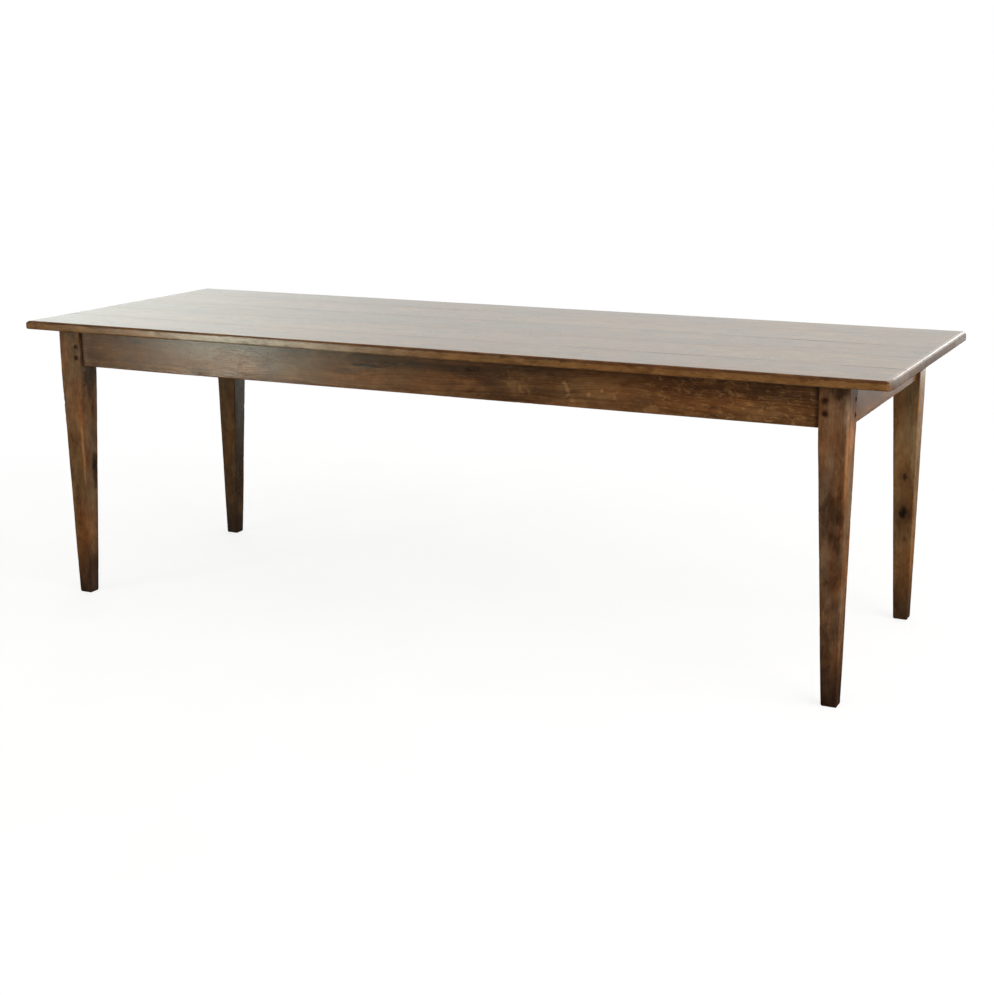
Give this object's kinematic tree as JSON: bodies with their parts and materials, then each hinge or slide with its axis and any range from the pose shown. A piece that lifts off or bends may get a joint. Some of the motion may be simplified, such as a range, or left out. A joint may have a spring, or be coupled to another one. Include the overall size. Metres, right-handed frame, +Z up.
{
  "type": "refectory table",
  "caption": "Long plank-topped oak dining table with shallow aprons pegged into square tapered legs; seats diners along both sides and at the ends.",
  "frame": {"origin": "on the floor, under the middle of the table top", "axes": "+X along the length of the table, -Y towards the front long side, +Z up"},
  "size_m": [2.4, 0.85, 0.78],
  "materials": {
    "top_oak": "waxed and polished old oak, satin to glossy",
    "frame_oak": "waxed old oak, satin, with worn arrises",
    "peg_oak": "dark waxed end grain",
    "hidden_oak": "bare planed oak, dull",
    "screw_steel": "dull slotted steel"
  },
  "bodies": {
    "root": {"bearer_screws": "screw_steel", "button_screws": "screw_steel", "cross_bearer_left": "hidden_oak", "cross_bearer_middle": "hidden_oak", "cross_bearer_right": "hidden_oak", "front_apron": "frame_oak", "left_apron": "frame_oak", "leg_front_left": "frame_oak", "leg_front_right": "frame_oak", "leg_rear_left": "frame_oak", "leg_rear_right": "frame_oak", "pegs_front_left_end": "peg_oak", "pegs_front_left_long": "peg_oak", "pegs_front_right_end": "peg_oak", "pegs_front_right_long": "peg_oak", "pegs_rear_left_end": "peg_oak", "pegs_rear_left_long": "peg_oak", "pegs_rear_right_end": "peg_oak", "pegs_rear_right_long": "peg_oak", "rear_apron": "frame_oak", "right_apron": "frame_oak", "top_board_1": "top_oak", "top_board_2": "top_oak", "top_board_3": "top_oak", "top_board_4": "top_oak", "top_board_5": "top_oak", "top_buttons_front": "hidden_oak", "top_buttons_left": "hidden_oak", "top_buttons_rear": "hidden_oak", "top_buttons_right": "hidden_oak", "top_tongue_1": "hidden_oak", "top_tongue_2": "hidden_oak", "top_tongue_3": "hidden_oak", "top_tongue_4": "hidden_oak"}
  },
  "joints": []
}
